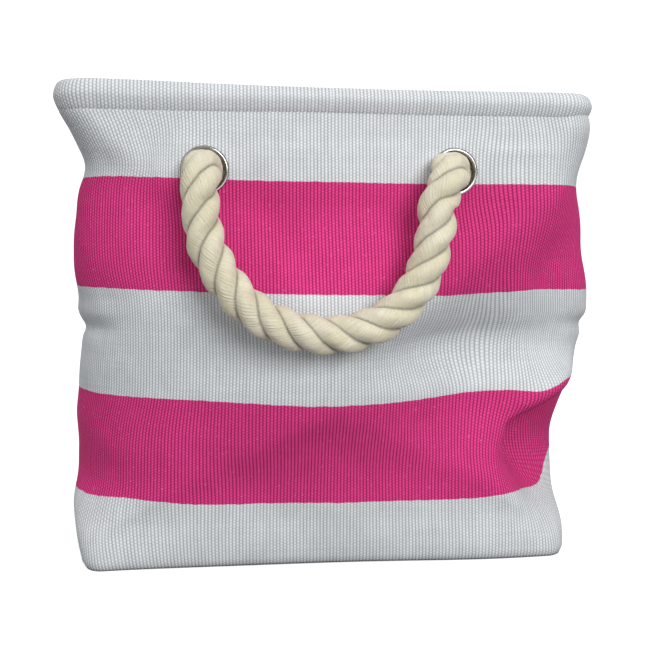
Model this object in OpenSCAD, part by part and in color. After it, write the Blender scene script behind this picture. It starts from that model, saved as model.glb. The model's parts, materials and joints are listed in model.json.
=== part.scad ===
// Canvas tote bag with two rope handles, standing open.
// Millimetres, +Z up, front towards -Y, origin in the middle of the resting face.

/* [Bag] */
// Width across the rim
bag_w = 302; // [270:2:340]
// Depth across the rim
bag_d = 232; // [216:2:270]
// Height from the floor to the top of the rim
bag_h = 270; // [250:5:300]
// How full the sides are, from straight to swollen
fullness = 1; // [0:0.1:1]

/* [Canvas] */
// Thickness of the coated canvas
canvas_t = 1.6; // [1.2:0.1:2]
// Height of the tubular binding round the rim
rim_h = 14; // [13:0.5:16]
// Thickness of the tubular binding round the rim
rim_t = 8; // [7.5:0.5:9]
// Outer radius of the rim's corners
rim_corner_r = 22; // [18:1:26]

/* [Handles] */
// Diameter of the three-strand rope
rope_d = 21; // [18:0.5:22]
// Distance between the two eyelets of a handle
eyelet_span = 138; // [130:2:142]
// Depth of the eyelet centres below the top of the rim
eyelet_drop = 45; // [43:1:47]
// Forward lean of a hanging handle, which rests on the swollen wall
handle_lean = 10; // [10:1:20]

/* [Base] */
// Thickness of the stiffening board
board_t = 3; // [2:0.5:4]
// Thickness of the sheet over the board
lining_t = 1.2; // [0.8:0.1:1.6]

/* [Hidden] */

canvas_white = [0.83, 0.85, 0.87];
tape_white = [0.92, 0.92, 0.9];
rope_cream = [0.86, 0.82, 0.7];

gap = 0.1;               // between pieces that lie on each other
tape_t = 1.8;            // of a folded seam tape
round_fn = 64;
small_fn = 32;

// Middle line of the rim tube, and the straight top of the wall that hangs from it
rim_a = bag_w / 2 - rim_t / 2;
rim_b = bag_d / 2 - rim_t / 2;
rim_r = rim_corner_r - rim_t / 2;
rim_skin = 1.2;
rim_mid_z = bag_h - rim_t / 2;
wire_d = 3;
ferrule_d = 5;
ferrule_l = 24;
wall_a = rim_a + canvas_t / 2;
wall_b = rim_b + canvas_t / 2;
wall_r = rim_r + canvas_t / 2;
slot_w = canvas_t + 0.4;

// Sections of the wall, from the floor up: depth below the top of the rim as a share of the
// height, how far the sides and then the front stand out from the top of the wall, how much
// rounder the corners are than the rim's, and the crown of the front
sections = [
    [1, -6.3, -7, -6, 0],
    [0.926, -3, -4, 4, 2],
    [0.833, 0, -4, 44, 6],
    [0.722, 1.5, -4, 46, 14],
    [0.611, 4, -1, 44, 18],
    [0.5, 4, 3, 40, 16],
    [0.426, 5, 5, 36, 12],
    [0.352, 4, 4, 30, 7],
    [0.24, 0, 0, 18, 0],
    [0.178, -2.5, 0, 15, 0],
    [0.111, -1.5, 0, 8, 0],
    [0.052, 0, 0, 0, 0],
    [0.03, 0, 0, 0, 0]
];
base = sections[0];
base_a = wall_a + fullness * base[1];
base_b = wall_b + fullness * base[2];
base_r = wall_r + fullness * base[3];

// Eyelets and what they clamp
eyelet_z = bag_h - eyelet_drop;
eyelet_x = eyelet_span / 2;
rope_play = 0.4;          // between the rope and the eyelet
barrel_t = 0.7;
bore_r = rope_d / 2 + rope_play;
barrel_r = bore_r + barrel_t;
lip_r = 1.15;            // of the rolled lip on each side
strip_t = 1.4;
strip_w = 204;
strip_h = 32;
washer_t = 0.8;
washer_r = 15.5;
grip_t = canvas_t + strip_t + washer_t + 3 * gap; // from the wall's face to the inner lip

// Rope. It comes straight out of the eyelet and turns down in an arc, and the handle turns
// about the middle of that arc.
rope_r = rope_d / 2;
rope_straight = 8;
rope_bend_r = 18;
hinge_out = rope_straight + rope_bend_r * sin(45);
hinge_down = rope_bend_r * (1 - cos(45));
turning_gap = 0.3;       // between the rope end's face and the turning ball
knot_r = 29;
knot_half = 23;
knot_mid = 31;           // from the wall's face to the middle of the knot
tail_l = 52;
tail_tilt = 32;          // of the tail from straight down, towards the inside

// Middle line of a hanging handle: across, and down from the turning axis
route = [
    [-68.5, 0], [-68, 10], [-68, 20], [-67, 29.5], [-63.5, 40], [-58.5, 50.5], [-52.5, 60],
    [-45, 68], [-36, 74], [-26.5, 78], [-17, 80.5], [-6.5, 81.5], [4, 81], [14.5, 78.5],
    [24.5, 74], [33.5, 67.5], [41, 58.5], [47, 47.5], [50.5, 36], [53, 25], [56, 14.5], [60, 6], [64, 0]
];

// ---------- shape of the canvas wall ----------

// Stations along a quarter of an outline, as [stretch, share of it]: stretch 0 is the side,
// 1 the corner and 2 the front
stations = concat(
    [for (i = [0:3]) [0, i / 3]],
    [for (i = [1:8]) [1, i / 8]],
    [for (i = [1:7]) [2, i / 7]]
);

function outline_point(s, a, b, r, crown) =
    s[0] == 0 ? [a, s[1] * (b - r)] :
    s[0] == 1 ? [a - r + r * cos(90 * s[1]), b - r + r * sin(90 * s[1])] :
    [(1 - s[1]) * (a - r), b + crown * pow(1 - pow(1 - s[1], 2), 2)];

function section_z(c) = bag_h * (1 - c[0]);

function section_point(s, c) = outline_point(
    s, wall_a + fullness * c[1], wall_b + fullness * c[2], wall_r + fullness * c[3], fullness * c[4]
);

// The outline of the front half, from the left seam round the front to the right seam
last = len(stations) - 1;
function front_outline(c) = concat(
    [for (i = [0:last]) let (p = section_point(stations[i], c)) [-p[0], -p[1]]],
    [for (i = [last - 1:-1:0]) let (p = section_point(stations[i], c)) [p[0], -p[1]]]
);

function unit(v) = v / norm(v);

// The same outline moved inwards by t. Its two ends stay on the seam line.
function moved_in(line, t) = [
    for (i = [0:len(line) - 1])
        let (
            before = line[max(0, i - 1)],
            after = line[min(len(line) - 1, i + 1)],
            along = i == 0 || i == len(line) - 1 ? [0, i == 0 ? -1 : 1] : unit(after - before),
            normal = [-along[1], along[0]]
        ) line[i] + t * normal
];

// A closed sheet between two grids of points of the same size
module sheet_solid(outer, inner) {
    rows = len(outer);
    cols = len(outer[0]);
    function out(r, c) = r * cols + c;
    function in(r, c) = rows * cols + out(r, c);
    function quad(a, b, c, d) = [[a, b, c], [a, c, d]];
    polyhedron(
        points = [for (g = [outer, inner]) for (row = g) for (p = row) p],
        faces = [
            for (r = [0:rows - 2]) for (c = [0:cols - 2]) for (f = concat(
                quad(out(r, c), out(r + 1, c), out(r + 1, c + 1), out(r, c + 1)),
                quad(in(r, c), in(r, c + 1), in(r + 1, c + 1), in(r + 1, c))
            )) f,
            for (c = [0:cols - 2]) for (f = concat(
                quad(out(0, c), out(0, c + 1), in(0, c + 1), in(0, c)),
                quad(out(rows - 1, c), in(rows - 1, c), in(rows - 1, c + 1), out(rows - 1, c + 1))
            )) f,
            for (r = [0:rows - 2]) for (f = concat(
                quad(out(r, 0), in(r, 0), in(r + 1, 0), out(r + 1, 0)),
                quad(out(r, cols - 1), out(r + 1, cols - 1), in(r + 1, cols - 1), in(r, cols - 1))
            )) f
        ]
    );
}

// ---------- placing ----------

// Children modelled at the front go to the front, or turned half round to the back
module on_side(back) {
    rotate([0, 0, back ? 180 : 0]) children();
}

// Children modelled along +Z, with z = 0 on the wall's outer face, go to an eyelet
module at_eyelet(x) {
    translate([x, -wall_b, eyelet_z]) rotate([90, 0, 0]) children();
}

module eyelet_holes(r) {
    for (x = [-eyelet_x, eyelet_x])
        at_eyelet(x) cylinder(r = r, h = 40, center = true, $fn = round_fn);
}

module rounded_plate(half_w, half_d, r, h) {
    linear_extrude(h) rounded_outline(half_w, half_d, r);
}

module rounded_outline(half_w, half_d, r) {
    square([2 * half_w, 2 * (half_d - r)], center = true);
    square([2 * (half_w - r), 2 * half_d], center = true);
    for (x = [-1, 1], y = [-1, 1])
        translate([x * (half_w - r), y * (half_d - r)]) circle(r = r, $fn = round_fn);
}

// A ring that carries its 2D child, with x across and y up, round the rim
module round_the_rim() {
    for (y = [-1, 1])
        translate([0, y * rim_b, 0]) rotate([90, 0, 90])
            linear_extrude(2 * (rim_a - rim_r), center = true) children();
    for (x = [-1, 1])
        translate([x * rim_a, 0, 0]) rotate([90, 0, 0])
            linear_extrude(2 * (rim_b - rim_r), center = true) children();
    for (corner = [[1, 1, 0], [-1, 1, 90], [-1, -1, 180], [1, -1, 270]])
        translate([corner[0] * (rim_a - rim_r), corner[1] * (rim_b - rim_r), 0])
            rotate([0, 0, corner[2]]) rotate_extrude(angle = 90, $fn = round_fn)
                translate([rim_r, 0]) children();
}

module obround(w, h) {
    square([w, h - w], center = true);
    for (y = [-1, 1]) translate([0, y * (h - w) / 2]) circle(d = w, $fn = small_fn);
}

// ---------- canvas ----------

// One half of the wrap, from side seam to side seam, with its two eyelet holes
module wall_panel(back) {
    outer = [for (c = sections) [for (p = front_outline(c)) [p[0], p[1], section_z(c)]]];
    inner = [
        for (c = sections) [for (p = moved_in(front_outline(c), canvas_t)) [p[0], p[1], section_z(c)]]
    ];
    color(canvas_white) on_side(back) difference() {
        sheet_solid(outer, inner);
        eyelet_holes(barrel_r + gap);
    }
}

module base_panel() {
    inset = canvas_t + 2 * gap;
    color(canvas_white) rounded_plate(base_a - inset, base_b - inset, base_r - inset, canvas_t);
}

// The folded strip round the top edge: a tube with a slot below for the wall
module rim_binding() {
    color(canvas_white) translate([0, 0, bag_h - rim_h / 2]) round_the_rim() difference() {
        obround(rim_t, rim_h);
        obround(rim_t - 2 * rim_skin, rim_h - 2 * rim_skin);
        translate([0, -rim_h / 2]) square([slot_w, 4 * rim_skin], center = true);
    }
}

module rim_wire() {
    color("silver") translate([0, 0, rim_mid_z]) difference() {
        round_the_rim() circle(d = wire_d, $fn = small_fn);
        translate([0, rim_b, 0]) cube([1, 2 * wire_d, 2 * wire_d], center = true);
    }
}

// The crimped sleeve that joins the wire's ends, half way along the back
module rim_ferrule() {
    color("gray") translate([0, rim_b, rim_mid_z]) rotate([0, 90, 0]) difference() {
        cylinder(d = ferrule_d, h = ferrule_l, center = true, $fn = small_fn);
        cylinder(d = wire_d + 2 * gap, h = ferrule_l + 2, center = true, $fn = small_fn);
    }
}

// A tape that binds a side seam inside, following the wall
module side_seam_binding(side) {
    tape_w = 12;
    covered = [for (c = sections) if (c[0] < 0.95 && c[0] > 0.06) c];
    function face(c) = side * (section_point([0, 0], c)[0] - canvas_t - 3 * gap);
    color(tape_white) translate([0, tape_w / 2, 0]) rotate([90, 0, 0]) linear_extrude(tape_w)
        polygon(concat(
            [for (c = covered) [face(c), section_z(c)]],
            [for (i = [len(covered) - 1:-1:0]) [face(covered[i]) - side * tape_t, section_z(covered[i])]]
        ));
}

// ---------- base ----------

board_z = canvas_t + gap;
board_inset = 7;
lining_z = board_z + board_t + gap;
lining_inset = canvas_t + 1;
lining_a = base_a - lining_inset;
lining_b = base_b - lining_inset;
lining_r = base_r - lining_inset;

module base_board() {
    color("tan") translate([0, 0, board_z])
        rounded_plate(base_a - board_inset, base_b - board_inset, base_r - canvas_t, board_t);
}

// A sheet over the board, with a skirt down to the base seam
module base_lining() {
    color(tape_white) difference() {
        translate([0, 0, board_z])
            rounded_plate(lining_a, lining_b, lining_r, board_t + gap + lining_t);
        rounded_plate(lining_a - lining_t, lining_b - lining_t, lining_r - lining_t, lining_z);
    }
}

// The bound seam allowance that stands round the foot of the walls
module base_seam_binding() {
    seam_h = 9;
    color(tape_white) translate([0, 0, lining_z + lining_t + gap]) difference() {
        rounded_plate(lining_a, lining_b, lining_r, seam_h);
        translate([0, 0, -1])
            rounded_plate(lining_a - tape_t, lining_b - tape_t, lining_r - tape_t, seam_h + 2);
    }
}

// ---------- handle fittings ----------

// The webbing strip behind a pair of eyelets
module reinforcement(back) {
    color(tape_white) on_side(back) difference() {
        translate([-strip_w / 2, -wall_b + canvas_t + gap, eyelet_z - strip_h / 2])
            cube([strip_w, strip_t, strip_h]);
        eyelet_holes(barrel_r + gap);
    }
}

module eyelet(back, x) {
    color("silver") on_side(back) at_eyelet(x) rotate_extrude($fn = round_fn) {
        translate([bore_r, -grip_t - gap]) square([barrel_r - bore_r, grip_t + 2 * gap]);
        translate([bore_r + lip_r, gap]) half_disc(lip_r);
        translate([bore_r + lip_r, -grip_t - gap]) mirror([0, 1]) half_disc(lip_r);
    }
}

module half_disc(r) {
    intersection() {
        circle(r = r, $fn = small_fn);
        translate([-r, 0]) square([2 * r, r]);
    }
}

module washer(back, x) {
    color("silver") on_side(back) at_eyelet(x)
        translate([0, 0, -grip_t]) difference() {
            cylinder(r = washer_r, h = washer_t, $fn = round_fn);
            translate([0, 0, -1]) cylinder(r = barrel_r + gap, h = washer_t + 2, $fn = round_fn);
        }
}

// ---------- rope ----------

// The end of a rope: through the eyelet, into its knot, and the tail below the knot
module rope_end(back, x) {
    color(rope_cream) on_side(back) at_eyelet(x) {
        mouth = hinge_out - rope_r - turning_gap;
        translate([0, 0, -knot_mid]) cylinder(r = rope_r, h = knot_mid + mouth, $fn = round_fn);
        translate([0, 0, -knot_mid]) rotate_extrude($fn = round_fn) polygon([
            for (i = [0:18]) let (a = 10 * i)
                [knot_r * pow(sin(a), 0.7), knot_half * cos(a)]
        ]);
        translate([0, 0, -knot_mid]) rotate([90 + tail_tilt, 0, 0])
            cylinder(r = rope_r, h = tail_l, $fn = round_fn);
    }
}

// The hanging loop, a tube along the route with a ball on each turning point
module handle_rope(back) {
    sides = 12;
    lean = [0, -sin(handle_lean), -cos(handle_lean)];
    across = [0, -cos(handle_lean), sin(handle_lean)];
    stretch = eyelet_x / 69;
    hinge = [0, -wall_b - hinge_out, eyelet_z - hinge_down];
    line = [for (p = route) hinge + [p[0] * stretch, 0, 0] + p[1] * lean];
    n = len(line) - 1;
    rings = [
        for (i = [0:n])
            let (
                along = i == 0 ? lean : i == n ? -lean : unit(line[i + 1] - line[i - 1]),
                side = cross(along, across)
            ) [
                for (j = [0:sides - 1])
                    let (turn = 360 * j / sides)
                        line[i] + rope_r * (cos(turn) * side + sin(turn) * across)
            ]
    ];
    color(rope_cream) on_side(back) {
        polyhedron(
            points = [for (ring = rings) for (p = ring) p],
            faces = concat(
                [[for (j = [sides - 1:-1:0]) j]],
                [[for (j = [0:sides - 1]) n * sides + j]],
                [for (i = [0:n - 1]) for (j = [0:sides - 1]) for (f = [
                    [i * sides + j, i * sides + (j + 1) % sides, (i + 1) * sides + (j + 1) % sides],
                    [i * sides + j, (i + 1) * sides + (j + 1) % sides, (i + 1) * sides + j]
                ]) f]
            )
        );
        for (p = [line[0], line[n]]) translate(p) sphere(r = rope_r, $fn = round_fn);
    }
}

// ---------- nodes ----------

wall_panel(false);  // front_panel
wall_panel(true);  // back_panel
base_panel();
rim_binding();
rim_wire();
rim_ferrule();
side_seam_binding(-1);  // left_seam_binding
side_seam_binding(1);  // right_seam_binding
base_seam_binding();
base_board();
base_lining();
reinforcement(false);  // front_reinforcement
reinforcement(true);  // back_reinforcement
eyelet(false, -eyelet_x);  // front_left_eyelet
eyelet(false, eyelet_x);  // front_right_eyelet
eyelet(true, eyelet_x);  // back_left_eyelet
eyelet(true, -eyelet_x);  // back_right_eyelet
washer(false, -eyelet_x);  // front_left_washer
washer(false, eyelet_x);  // front_right_washer
washer(true, eyelet_x);  // back_left_washer
washer(true, -eyelet_x);  // back_right_washer
rope_end(false, -eyelet_x);  // front_left_rope_end
rope_end(false, eyelet_x);  // front_right_rope_end
rope_end(true, eyelet_x);  // back_left_rope_end
rope_end(true, -eyelet_x);  // back_right_rope_end
handle_rope(false);  // front_handle_rope
handle_rope(true);  // back_handle_rope
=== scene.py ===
"""Canvas tote bag with rope handles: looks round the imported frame. Metres, +Z up, front to -Y."""

import json
import math

import bmesh
import bpy
import numpy as np
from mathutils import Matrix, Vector


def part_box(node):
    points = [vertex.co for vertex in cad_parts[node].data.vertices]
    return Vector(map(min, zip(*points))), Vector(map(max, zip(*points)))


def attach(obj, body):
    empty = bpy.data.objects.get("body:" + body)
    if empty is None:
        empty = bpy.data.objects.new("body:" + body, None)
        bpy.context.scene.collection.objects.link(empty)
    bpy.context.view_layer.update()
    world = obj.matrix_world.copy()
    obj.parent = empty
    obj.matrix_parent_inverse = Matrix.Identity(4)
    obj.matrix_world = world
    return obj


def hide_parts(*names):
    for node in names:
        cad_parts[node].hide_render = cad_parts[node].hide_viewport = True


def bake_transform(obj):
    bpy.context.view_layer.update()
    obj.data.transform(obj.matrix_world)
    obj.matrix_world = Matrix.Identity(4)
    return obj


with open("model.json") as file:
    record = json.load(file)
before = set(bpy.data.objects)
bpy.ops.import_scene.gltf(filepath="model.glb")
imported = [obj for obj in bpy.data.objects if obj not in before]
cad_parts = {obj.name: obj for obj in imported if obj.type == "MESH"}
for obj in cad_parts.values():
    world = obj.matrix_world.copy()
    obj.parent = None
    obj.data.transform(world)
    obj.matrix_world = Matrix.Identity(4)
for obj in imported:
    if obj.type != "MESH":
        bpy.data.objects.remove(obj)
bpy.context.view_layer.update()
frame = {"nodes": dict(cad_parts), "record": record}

MM = 0.001
TAU = 2 * math.pi
rng = np.random.default_rng(7)

# ---------- sizes, from the frame ----------


def box_of(node):
    """Lower and upper corner of a CAD node."""
    return [np.array(c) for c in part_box(node)]


rim_low, rim_high = box_of("rim_binding")
HEIGHT = rim_high[2]
RIM_H = rim_high[2] - rim_low[2]
RIM_T = 8 * MM
CANVAS_T = 1.6 * MM
RIM_R = 18 * MM                       # corner radius of the rim's middle line
RIM_A = rim_high[0] - RIM_T / 2
RIM_B = rim_high[1] - RIM_T / 2
WALL_A = RIM_A + CANVAS_T / 2
WALL_B = RIM_B + CANVAS_T / 2
WALL_R = RIM_R + CANVAS_T / 2
WALL_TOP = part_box("front_panel")[1][2]

eye_low, eye_high = box_of("front_left_eyelet")
EYE_X = -(eye_low[0] + eye_high[0]) / 2
EYE_Z = (eye_low[2] + eye_high[2]) / 2

hinge = frame["record"]["behaviour"]["joints"][0]["pos_m"]
HINGE_DOWN = EYE_Z - hinge[2]
ROPE_D = 21 * MM
ROPE_R = ROPE_D / 2
LAY = 47.4 * MM                       # length of one turn of a strand

# ---------- small helpers ----------


def smooth(x):
    x = np.clip(x, 0, 1)
    return x * x * (3 - 2 * x)


def hermite(x, xs, ys):
    """A smooth curve through the points xs, ys, read at x."""
    xs, ys = np.asarray(xs, float), np.asarray(ys, float)
    slope = np.gradient(ys, xs)
    i = np.clip(np.searchsorted(xs, x) - 1, 0, len(xs) - 2)
    h = xs[i + 1] - xs[i]
    t = np.clip((x - xs[i]) / h, 0, 1)
    a = (1 + 2 * t) * (1 - t) ** 2 * ys[i] + t * (1 - t) ** 2 * h * slope[i]
    return a + t * t * (3 - 2 * t) * ys[i + 1] + t * t * (t - 1) * h * slope[i + 1]


def waves(x, z, size, seed, count=18):
    """Soft uneven waves of about that size, between about -1 and 1."""
    r = np.random.default_rng(seed)
    total = np.zeros(np.broadcast(x, z).shape)
    for _ in range(count):
        angle, phase = r.uniform(0, TAU, 2)
        k = TAU / (size * r.uniform(0.7, 1.6))
        total += np.sin(k * (x * math.cos(angle) + z * math.sin(angle)) + phase)
    return total / math.sqrt(count)


def arc_along(line):
    """Length along a line up to each of its points."""
    return np.concatenate([[0], np.cumsum(np.linalg.norm(np.diff(line, axis=0), axis=1))])


def add_object(name, data):
    obj = bpy.data.objects.new(name, data)
    bpy.context.scene.collection.objects.link(obj)
    return obj


def grid_mesh(name, points, uv, material, closed_u=False, closed_v=False):
    """A mesh of a grid of points, rows by columns, with a UV map in metres named cloth."""
    rows, cols = points.shape[:2]
    mesh = bpy.data.meshes.new(name)
    r = np.arange(rows if closed_v else rows - 1)
    c = np.arange(cols if closed_u else cols - 1)
    r, c = (g.ravel() for g in np.meshgrid(r, c, indexing="ij"))
    r2, c2 = (r + 1) % rows, (c + 1) % cols
    faces = np.stack([r * cols + c, r * cols + c2, r2 * cols + c2, r2 * cols + c], 1)
    mesh.from_pydata(points.reshape(-1, 3).tolist(), [], faces.tolist())
    layer = mesh.uv_layers.new(name="cloth")
    corner = uv.reshape(-1, 2)[faces].reshape(-1, 4, 2).copy()
    if closed_u:
        wrap, step = c == cols - 1, uv[0, 1] - uv[0, 0]
        corner[wrap, 1], corner[wrap, 2] = corner[wrap, 0] + step, corner[wrap, 3] + step
    if closed_v:
        wrap, step = r == rows - 1, uv[1, 0] - uv[0, 0]
        corner[wrap, 2], corner[wrap, 3] = corner[wrap, 1] + step, corner[wrap, 0] + step
    layer.data.foreach_set("uv", corner.ravel().astype(np.float32))
    mesh.shade_smooth()
    mesh.materials.append(material)
    return add_object(name, mesh)


def edit_mesh(obj, change):
    """Runs change on the object's mesh, given to it as a bmesh."""
    bm = bmesh.new()
    bm.from_mesh(obj.data)
    bm.verts.ensure_lookup_table()
    change(bm)
    bm.to_mesh(obj.data)
    bm.free()


def mesh_object(name, bm, material):
    """Ends a bmesh as a new object."""
    mesh = bpy.data.meshes.new(name)
    bm.to_mesh(mesh)
    bm.free()
    mesh.shade_smooth()
    mesh.materials.append(material)
    return add_object(name, mesh)


def turn_faces_out(obj):
    edit_mesh(obj, lambda bm: bmesh.ops.recalc_face_normals(bm, faces=bm.faces))


def bag_piece(obj, node=None):
    """Fixes a piece to the bag, in place of a CAD node if one is named."""
    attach(obj, "bag")
    if node:
        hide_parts(node)


def apply_modifiers(obj):
    deps = bpy.context.evaluated_depsgraph_get()
    mesh = bpy.data.meshes.new_from_object(obj.evaluated_get(deps))
    old = obj.data
    obj.modifiers.clear()
    obj.data = mesh
    bpy.data.meshes.remove(old)


def thicken(obj, thickness, inner_slot=0):
    """Gives a sheet its thickness, inwards from the modelled face."""
    mod = obj.modifiers.new("thickness", "SOLIDIFY")
    mod.thickness = thickness
    mod.offset = -1
    mod.use_even_offset = False
    mod.material_offset = inner_slot
    mod.material_offset_rim = 0
    apply_modifiers(obj)


def half_turn(points):
    return points * np.array([-1, -1, 1])


# ---------- materials ----------


class Nodes:
    """Short names for building a node material."""

    def __init__(self, name, rough, sheen=0.0, metal=0.0, shine=0.5):
        self.material = bpy.data.materials.new(name)
        self.material.use_nodes = True
        self.tree = self.material.node_tree
        self.shader = self.tree.nodes["Principled BSDF"]
        self.shader.inputs["Roughness"].default_value = rough
        self.shader.inputs["Metallic"].default_value = metal
        self.shader.inputs["Specular IOR Level"].default_value = shine
        if sheen:
            self.shader.inputs["Sheen Weight"].default_value = sheen
            self.shader.inputs["Sheen Roughness"].default_value = 0.5

    def plug(self, socket, value):
        if hasattr(value, "is_output"):
            self.tree.links.new(value, socket)
        elif value is not None:
            socket.default_value = value

    def math(self, op, a, b=None, c=None):
        node = self.tree.nodes.new("ShaderNodeMath")
        node.operation = op
        for socket, value in zip(node.inputs, (a, b, c)):
            self.plug(socket, value)
        return node.outputs[0]

    def add(self, a, b):
        return self.math("ADD", a, b)

    def times(self, a, b):
        return self.math("MULTIPLY", a, b)

    def cloth_uv(self):
        uv = self.tree.nodes.new("ShaderNodeUVMap")
        uv.uv_map = "cloth"
        split = self.tree.nodes.new("ShaderNodeSeparateXYZ")
        self.tree.links.new(uv.outputs[0], split.inputs[0])
        return uv.outputs[0], split.outputs[0], split.outputs[1]

    def vector(self, x, y, z=0.0):
        node = self.tree.nodes.new("ShaderNodeCombineXYZ")
        for socket, value in zip(node.inputs, (x, y, z)):
            self.plug(socket, value)
        return node.outputs[0]

    def noise(self, where, scale, detail=2.0, rough=0.5):
        node = self.tree.nodes.new("ShaderNodeTexNoise")
        self.plug(node.inputs["Vector"], where)
        node.inputs["Scale"].default_value = scale
        node.inputs["Detail"].default_value = detail
        node.inputs["Roughness"].default_value = rough
        return node.outputs[0]

    def place(self):
        return self.tree.nodes.new("ShaderNodeTexCoord").outputs["Object"]

    def span(self, value, low, high, to_low=0.0, to_high=1.0):
        node = self.tree.nodes.new("ShaderNodeMapRange")
        for socket, v in zip(node.inputs, (value, low, high, to_low, to_high)):
            self.plug(socket, v)
        return node.outputs[0]

    def vary(self, noise, low, high):
        """Spreads the middle of a noise over low to high."""
        return self.span(noise, 0.3, 0.7, low, high)

    def flat(self, colour):
        return self.mix(0.0, colour, colour)

    def mix(self, share, a, b):
        node = self.tree.nodes.new("ShaderNodeMix")
        node.data_type = "RGBA"
        self.plug(node.inputs[0], share)
        for socket, value in ((node.inputs[6], a), (node.inputs[7], b)):
            self.plug(socket, (*value, 1) if isinstance(value, tuple) else value)
        return node.outputs[2]

    def shade(self, colour, amount):
        """colour times amount."""
        node = self.tree.nodes.new("ShaderNodeVectorMath")
        node.operation = "SCALE"
        self.plug(node.inputs[0], colour)
        self.plug(node.inputs["Scale"], amount)
        return node.outputs[0]

    def bump(self, height, distance, strength=1.0, under=None):
        node = self.tree.nodes.new("ShaderNodeBump")
        node.inputs["Strength"].default_value = strength
        node.inputs["Distance"].default_value = distance
        self.plug(node.inputs["Height"], height)
        self.plug(node.inputs["Normal"], under)
        return node.outputs[0]

    def done(self, colour=None, normal=None, rough=None):
        self.plug(self.shader.inputs["Base Color"], colour)
        self.plug(self.shader.inputs["Normal"], normal)
        self.plug(self.shader.inputs["Roughness"], rough)
        return self.material


WHITE = (0.68, 0.71, 0.735)
PINK = (0.72, 0.056, 0.25)
SHADED_GAP_PINK = (0.50, 0.018, 0.125)       # painted shade: the pink between the threads
INNER_WHITE = (0.70, 0.71, 0.72)
ROPE_CREAM, PALE_CREAM = (0.71, 0.655, 0.465), (0.73, 0.68, 0.545)
HUSK_BROWN = (0.42, 0.29, 0.15)
THIN_PINK = (0.80, 0.30, 0.46)        # where the print is worn
THREAD_U, THREAD_V = 1.93 * MM, 0.83 * MM     # from one upright thread to the next, and level ones
# Lower and upper edge of each stripe, as heights along the cloth from the floor
STRIPES = ((36.5 * MM, 97 * MM), (158 * MM, 219 * MM))


def weave(n, u, v, pitch_u, pitch_v):
    """Height of a plain weave, its upright threads the thicker ones, and the two thread counts."""
    a, b = n.math("DIVIDE", u, pitch_u), n.math("DIVIDE", v, pitch_v)
    i, j = n.math("FLOOR", a), n.math("FLOOR", b)

    def thread(across, along, index, shift):
        body = n.math("SINE", n.times(n.math("FRACT", across), math.pi))
        phase = n.add(n.add(along, index), shift)
        rise = n.math("MULTIPLY_ADD", n.math("COSINE", n.times(phase, math.pi)), 0.5, 0.5)
        return n.math("POWER", body, 0.8), rise

    body, rise = thread(a, n.add(b, -0.5), i, 0.0)
    warp = n.times(body, n.math("MULTIPLY_ADD", rise, 0.42, 0.58))
    body, rise = thread(b, n.add(a, -0.5), j, 1.0)
    return n.math("MAXIMUM", warp, n.times(n.times(body, rise), 0.36)), a, b


def stripe_mask(n, v, wobble):
    """1 in the pink stripes and 0 in the white, with a slightly uneven edge."""
    edge = n.add(v, wobble)
    total = None
    for low, high in STRIPES:
        up = n.span(edge, low - 0.2 * MM, low + 0.2 * MM)
        down = n.span(edge, high - 0.2 * MM, high + 0.2 * MM, 1.0, 0.0)
        band = n.times(up, down)
        total = band if total is None else n.math("MAXIMUM", total, band)
    return total


def canvas_material(name, striped=True, light=WHITE):
    n = Nodes(name, 0.9, shine=0.06)
    where, u, v = n.cloth_uv()
    height, a, b = weave(n, u, v, THREAD_U, THREAD_V)
    slub = n.noise(n.vector(n.times(a, 0.5), n.times(b, 0.06)), 1.0, 3)
    slub_across = n.noise(n.vector(n.times(a, 0.05), n.times(b, 0.5), 4.0), 1.0, 3)
    mottle = n.noise(where, 38.0, 4)
    tone = n.add(n.span(slub, 0.25, 0.75, -0.05, 0.05), n.span(slub_across, 0.25, 0.75, -0.04, 0.04))
    tone = n.add(tone, n.vary(mottle, -0.025, 0.025))
    # painted shade: darker where the threads dip, between them
    tone = n.add(tone, n.span(height, 0.0, 0.85, 0.46, 1.13))
    if striped:
        wobble = n.times(n.add(n.noise(where, 160.0), -0.5), 1.2 * MM)
        thin = n.times(n.span(n.noise(where, 420.0, 3), 0.62, 0.78), 0.35)
        # painted shade: the pink deepens between the threads
        ink = n.mix(n.span(height, 0.2, 0.7, 0.75, 0.0), PINK, SHADED_GAP_PINK)
        ink = n.mix(thin, ink, THIN_PINK)
        colour = n.mix(stripe_mask(n, v, wobble), light, ink)
        # painted shade: the cloth is darker towards the foot
        shade_height = n.add(v, n.vary(mottle, -6 * MM, 6 * MM))
        tone = n.times(tone, n.span(shade_height, 0.0, 40 * MM, 0.84, 1.0))
    else:
        colour = n.flat(light)
    crumple = n.bump(n.noise(where, 70.0, 5, 0.55), 0.5 * MM, 0.35)
    normal = n.bump(height, 0.32 * MM, 0.75, crumple)
    return n.done(n.shade(colour, tone), normal)


def lining_material(name, colour, scale=1.0):
    """Smooth coated cloth, with a faint weave under the coat."""
    n = Nodes(name, 0.55, sheen=0.03)
    where, u, v = n.cloth_uv()
    height = weave(n, u, v, THREAD_U * scale, THREAD_V * scale)[0]
    mottle = n.noise(where, 45.0, 4)
    # a random mottle, and faint painted shade between the threads
    tone = n.add(n.vary(mottle, 0.95, 1.02), n.span(height, 0, 1, -0.02, 0.02))
    crumple = n.bump(n.noise(where, 90.0, 5, 0.6), 0.5 * MM, 0.4)
    return n.done(n.shade(n.flat(colour), tone), n.bump(height, 0.1 * MM, 0.5, crumple))


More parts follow.
